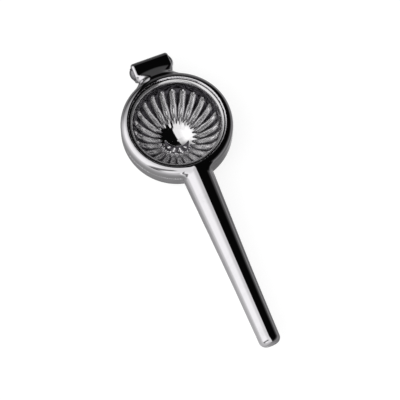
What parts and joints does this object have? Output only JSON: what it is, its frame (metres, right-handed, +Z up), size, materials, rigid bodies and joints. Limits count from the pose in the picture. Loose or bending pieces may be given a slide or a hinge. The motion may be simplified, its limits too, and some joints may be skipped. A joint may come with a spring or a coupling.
{
  "type": "lime squeezer",
  "caption": "Hand lever lime squeezer: two cast arms on one hinge pin, a fluted press cup in the upper arm and a perforated strainer bowl in the lower arm.",
  "frame": {"origin": "centre of the strainer bowl's flat foot, which the squeezer rests on", "axes": "+X along the hinge pin, +Y from the handles towards the hinge, +Z up out of the press cup"},
  "size_m": [0.076, 0.2185, 0.0377],
  "materials": {
    "press_arm_chrome": "polished chrome plate on a casting",
    "bowl_arm_chrome": "polished chrome plate on a casting",
    "cup_steel": "polished stainless steel sheet",
    "strainer_steel": "polished stainless steel sheet",
    "spring_steel": "spring steel strip",
    "pin_steel": "ground stainless steel",
    "cap_chrome": "polished chrome plate",
    "bush_bronze": "sintered bronze",
    "washer_nylon": "natural nylon"
  },
  "bodies": {
    "bowl_half": {"bowl_arm": "bowl_arm_chrome", "strainer_bowl": "strainer_steel", "strainer_snap_ring": "spring_steel", "hinge_bush": "bush_bronze", "left_washer": "washer_nylon", "right_washer": "washer_nylon"},
    "press_half": {"press_arm": "press_arm_chrome", "press_cup": "cup_steel", "cup_snap_ring": "spring_steel", "hinge_pin": "pin_steel", "left_pin_cap": "cap_chrome", "right_pin_cap": "cap_chrome"}
  },
  "joints": [
    {"name": "press_hinge", "type": "hinge", "parent": "bowl_half", "child": "press_half", "pos_m": [0, 0.0475, 0.02825], "axis": [-1, 0, 0], "range_deg": [0, 100]}
  ]
}
